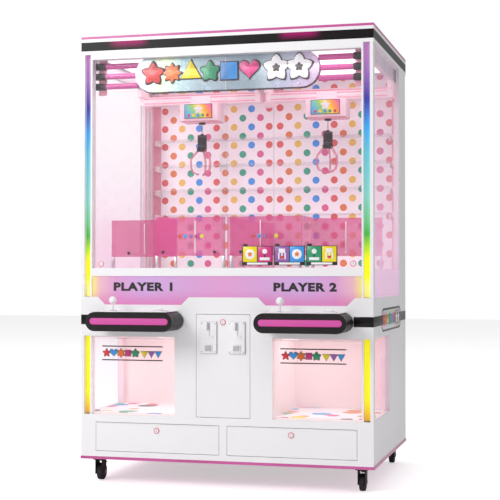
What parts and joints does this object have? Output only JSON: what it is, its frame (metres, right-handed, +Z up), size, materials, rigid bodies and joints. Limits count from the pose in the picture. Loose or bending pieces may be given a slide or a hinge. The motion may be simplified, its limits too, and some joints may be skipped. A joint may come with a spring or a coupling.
{
  "type": "claw crane machine",
  "caption": "Two-player claw crane cabinet with glazed play area, gantry cranes, joystick consoles, prize flaps, coin door and casters.",
  "frame": {"origin": "centre of the footprint, control housings included, on the floor", "axes": "+Z up, front towards -Y, +X to the right seen from the front"},
  "size_m": [1.33, 1.145, 2],
  "materials": {
    "white_laminate": "satin",
    "pink_edge": "gloss",
    "powder_coat_white": "satin",
    "clear_pane": "gloss",
    "clear_acrylic": "gloss",
    "pink_acrylic": "gloss",
    "fascia_acrylic": "gloss",
    "dotted_board": "satin",
    "gloss_black": "gloss",
    "pink_liner": "satin",
    "light_diffuser": "satin",
    "sign_board": "gloss",
    "rail_aluminium": "satin",
    "unit_case": "matte",
    "inlet_plastic": "matte",
    "coin_metal": "satin",
    "door_metal": "satin",
    "lever_chrome": "polished",
    "steel": "satin",
    "stick_white": "gloss",
    "carriage_case": "satin",
    "head_black": "satin",
    "claw_pink": "gloss",
    "cable_black": "matte",
    "caster_steel": "satin",
    "caster_rubber": "matte"
  },
  "bodies": {
    "cabinet": {"base_tray": "pink_edge", "front_panel": "powder_coat_white", "side_panels": "white_laminate", "console_band": "white_laminate", "fascia": "fascia_acrylic", "front_frame": "powder_coat_white", "side_panes": "clear_acrylic", "back_wall": "dotted_board", "rear_panel": "white_laminate", "roof_cap": "white_laminate", "roof_band": "gloss_black", "play_deck": "white_laminate", "play_fences": "pink_acrylic", "prize_boxes": "pink_liner", "control_housings": "gloss_black", "light_strips": "light_diffuser", "marquee_sign": "sign_board", "light_tubes": "pink_acrylic", "prize_shelves": "clear_acrylic", "gantry_rails": "rail_aluminium", "control_unit": "unit_case", "power_inlet": "inlet_plastic"},
    "coin_door": {"coin_door": "door_metal", "coin_plates": "coin_metal"},
    "window_left": {"window_left": "clear_pane"},
    "reject_lever_left": {"reject_lever_left": "lever_chrome"},
    "service_door_left": {"service_door_left": "door_metal"},
    "prize_flap_left": {"prize_flap_left": "clear_acrylic"},
    "joystick_gimbal_left": {"joystick_gimbal_left": "steel"},
    "joystick_left": {"joystick_left": "stick_white"},
    "push_button_left": {"push_button_left": "stick_white"},
    "bridge_left": {"bridge_left": "rail_aluminium"},
    "carriage_left": {"carriage_left": "carriage_case", "hoist_cable_left": "cable_black"},
    "claw_left": {"claw_head_left": "head_black"},
    "claw_arm_1_left": {"claw_arm_1_left": "claw_pink"},
    "claw_arm_2_left": {"claw_arm_2_left": "claw_pink"},
    "claw_arm_3_left": {"claw_arm_3_left": "claw_pink"},
    "window_right": {"window_right": "clear_pane"},
    "reject_lever_right": {"reject_lever_right": "lever_chrome"},
    "service_door_right": {"service_door_right": "door_metal"},
    "prize_flap_right": {"prize_flap_right": "clear_acrylic"},
    "joystick_gimbal_right": {"joystick_gimbal_right": "steel"},
    "joystick_right": {"joystick_right": "stick_white"},
    "push_button_right": {"push_button_right": "stick_white"},
    "bridge_right": {"bridge_right": "rail_aluminium"},
    "carriage_right": {"carriage_right": "carriage_case", "hoist_cable_right": "cable_black"},
    "claw_right": {"claw_head_right": "head_black"},
    "claw_arm_1_right": {"claw_arm_1_right": "claw_pink"},
    "claw_arm_2_right": {"claw_arm_2_right": "claw_pink"},
    "claw_arm_3_right": {"claw_arm_3_right": "claw_pink"},
    "caster_fork_front_left": {"caster_fork_front_left": "caster_steel"},
    "caster_wheel_front_left": {"caster_wheel_front_left": "caster_rubber"},
    "caster_fork_front_right": {"caster_fork_front_right": "caster_steel"},
    "caster_wheel_front_right": {"caster_wheel_front_right": "caster_rubber"},
    "caster_fork_rear_left": {"caster_fork_rear_left": "caster_steel"},
    "caster_wheel_rear_left": {"caster_wheel_rear_left": "caster_rubber"},
    "caster_fork_rear_right": {"caster_fork_rear_right": "caster_steel"},
    "caster_wheel_rear_right": {"caster_wheel_rear_right": "caster_rubber"}
  },
  "joints": [
    {"name": "coin_door_hinge", "type": "hinge", "parent": "cabinet", "child": "coin_door", "pos_m": [-0.112, -0.4015, 0.53], "axis": [0, 0, -1], "range_deg": [0, 95]},
    {"name": "window_left_slide", "type": "slide", "parent": "cabinet", "child": "window_left", "axis": [1, 0, 0], "range_m": [0, 0.54]},
    {"name": "reject_lever_left_pivot", "type": "hinge", "parent": "coin_door", "child": "reject_lever_left", "pos_m": [-0.064, -0.4195, 0.659], "axis": [0, 1, 0], "range_deg": [0, 20], "stiffness_Nm_per_rad": 0.05},
    {"name": "service_door_left_hinge", "type": "hinge", "parent": "cabinet", "child": "service_door_left", "pos_m": [-0.3045, -0.4015, 0.153], "axis": [1, 0, 0], "range_deg": [0, 85]},
    {"name": "prize_flap_left_hinge", "type": "hinge", "parent": "cabinet", "child": "prize_flap_left", "pos_m": [-0.417, -0.399, 0.648], "axis": [1, 0, 0], "range_deg": [0, 65]},
    {"name": "joystick_left_pitch", "type": "hinge", "parent": "cabinet", "child": "joystick_gimbal_left", "pos_m": [-0.481, -0.4875, 0.755], "axis": [1, 0, 0], "range_deg": [-12, 12], "stiffness_Nm_per_rad": 1},
    {"name": "joystick_left_roll", "type": "hinge", "parent": "joystick_gimbal_left", "child": "joystick_left", "pos_m": [-0.481, -0.4875, 0.755], "axis": [0, 1, 0], "range_deg": [-12, 12], "stiffness_Nm_per_rad": 1},
    {"name": "push_button_left_press", "type": "slide", "parent": "cabinet", "child": "push_button_left", "axis": [0, 0, -1], "range_m": [0, 0.004], "stiffness_N_per_m": 400},
    {"name": "bridge_left_travel", "type": "slide", "parent": "cabinet", "child": "bridge_left", "axis": [0, 1, 0], "range_m": [-0.54, 0.04]},
    {"name": "carriage_left_travel", "type": "slide", "parent": "bridge_left", "child": "carriage_left", "axis": [1, 0, 0], "range_m": [-0.19, 0.19]},
    {"name": "hoist_left_drop", "type": "slide", "parent": "carriage_left", "child": "claw_left", "axis": [0, 0, -1], "range_m": [0, 0.45], "deforming": ["hoist_cable_left"]},
    {"name": "claw_arm_1_left_pivot", "type": "hinge", "parent": "claw_left", "child": "claw_arm_1_left", "pos_m": [-0.32, 0.3445, 1.548], "axis": [1, 0, 0], "range_deg": [0, 30], "stiffness_Nm_per_rad": 0.3},
    {"name": "claw_arm_2_left_pivot", "type": "hinge", "parent": "claw_left", "child": "claw_arm_2_left", "pos_m": [-0.30268, 0.3145, 1.548], "axis": [-0.5, -0.866, 0], "range_deg": [0, 30]},
    {"name": "claw_arm_3_left_pivot", "type": "hinge", "parent": "claw_left", "child": "claw_arm_3_left", "pos_m": [-0.33732, 0.3145, 1.548], "axis": [-0.5, 0.866, 0], "range_deg": [0, 30]},
    {"name": "window_right_slide", "type": "slide", "parent": "cabinet", "child": "window_right", "axis": [-1, 0, 0], "range_m": [0, 0.54]},
    {"name": "reject_lever_right_pivot", "type": "hinge", "parent": "coin_door", "child": "reject_lever_right", "pos_m": [0.064, -0.4195, 0.659], "axis": [0, 1, 0], "range_deg": [0, 20], "stiffness_Nm_per_rad": 0.05},
    {"name": "service_door_right_hinge", "type": "hinge", "parent": "cabinet", "child": "service_door_right", "pos_m": [0.3045, -0.4015, 0.153], "axis": [1, 0, 0], "range_deg": [0, 85]},
    {"name": "prize_flap_right_hinge", "type": "hinge", "parent": "cabinet", "child": "prize_flap_right", "pos_m": [0.417, -0.399, 0.648], "axis": [1, 0, 0], "range_deg": [0, 65]},
    {"name": "joystick_right_pitch", "type": "hinge", "parent": "cabinet", "child": "joystick_gimbal_right", "pos_m": [0.275, -0.4875, 0.755], "axis": [1, 0, 0], "range_deg": [-12, 12], "stiffness_Nm_per_rad": 1},
    {"name": "joystick_right_roll", "type": "hinge", "parent": "joystick_gimbal_right", "child": "joystick_right", "pos_m": [0.275, -0.4875, 0.755], "axis": [0, 1, 0], "range_deg": [-12, 12], "stiffness_Nm_per_rad": 1},
    {"name": "push_button_right_press", "type": "slide", "parent": "cabinet", "child": "push_button_right", "axis": [0, 0, -1], "range_m": [0, 0.004], "stiffness_N_per_m": 400},
    {"name": "bridge_right_travel", "type": "slide", "parent": "cabinet", "child": "bridge_right", "axis": [0, 1, 0], "range_m": [-0.54, 0.04]},
    {"name": "carriage_right_travel", "type": "slide", "parent": "bridge_right", "child": "carriage_right", "axis": [1, 0, 0], "range_m": [-0.19, 0.19]},
    {"name": "hoist_right_drop", "type": "slide", "parent": "carriage_right", "child": "claw_right", "axis": [0, 0, -1], "range_m": [0, 0.45], "deforming": ["hoist_cable_right"]},
    {"name": "claw_arm_1_right_pivot", "type": "hinge", "parent": "claw_right", "child": "claw_arm_1_right", "pos_m": [0.32, 0.3445, 1.548], "axis": [1, 0, 0], "range_deg": [0, 30], "stiffness_Nm_per_rad": 0.3},
    {"name": "claw_arm_2_right_pivot", "type": "hinge", "parent": "claw_right", "child": "claw_arm_2_right", "pos_m": [0.30268, 0.3145, 1.548], "axis": [-0.5, 0.866, 0], "range_deg": [0, 30]},
    {"name": "claw_arm_3_right_pivot", "type": "hinge", "parent": "claw_right", "child": "claw_arm_3_right", "pos_m": [0.33732, 0.3145, 1.548], "axis": [-0.5, -0.866, 0], "range_deg": [0, 30]},
    {"name": "caster_front_left_swivel", "type": "hinge", "parent": "cabinet", "child": "caster_fork_front_left", "pos_m": [-0.6, -0.3375, 0.1], "axis": [0, 0, 1], "continuous": true},
    {"name": "caster_front_left_roll", "type": "hinge", "parent": "caster_fork_front_left", "child": "caster_wheel_front_left", "pos_m": [-0.6, -0.3125, 0.0375], "axis": [1, 0, 0], "continuous": true},
    {"name": "caster_front_right_swivel", "type": "hinge", "parent": "cabinet", "child": "caster_fork_front_right", "pos_m": [0.6, -0.3375, 0.1], "axis": [0, 0, 1], "continuous": true},
    {"name": "caster_front_right_roll", "type": "hinge", "parent": "caster_fork_front_right", "child": "caster_wheel_front_right", "pos_m": [0.6, -0.3125, 0.0375], "axis": [1, 0, 0], "continuous": true},
    {"name": "caster_rear_left_swivel", "type": "hinge", "parent": "cabinet", "child": "caster_fork_rear_left", "pos_m": [-0.6, 0.5025, 0.1], "axis": [0, 0, 1], "continuous": true},
    {"name": "caster_rear_left_roll", "type": "hinge", "parent": "caster_fork_rear_left", "child": "caster_wheel_rear_left", "pos_m": [-0.6, 0.5275, 0.0375], "axis": [1, 0, 0], "continuous": true},
    {"name": "caster_rear_right_swivel", "type": "hinge", "parent": "cabinet", "child": "caster_fork_rear_right", "pos_m": [0.6, 0.5025, 0.1], "axis": [0, 0, 1], "continuous": true},
    {"name": "caster_rear_right_roll", "type": "hinge", "parent": "caster_fork_rear_right", "child": "caster_wheel_rear_right", "pos_m": [0.6, 0.5275, 0.0375], "axis": [1, 0, 0], "continuous": true}
  ],
  "couplings": [
    {"joint": "claw_arm_2_left_pivot", "follows": "claw_arm_1_left_pivot", "ratio": 1},
    {"joint": "claw_arm_3_left_pivot", "follows": "claw_arm_1_left_pivot", "ratio": 1},
    {"joint": "claw_arm_2_right_pivot", "follows": "claw_arm_1_right_pivot", "ratio": 1},
    {"joint": "claw_arm_3_right_pivot", "follows": "claw_arm_1_right_pivot", "ratio": 1}
  ]
}
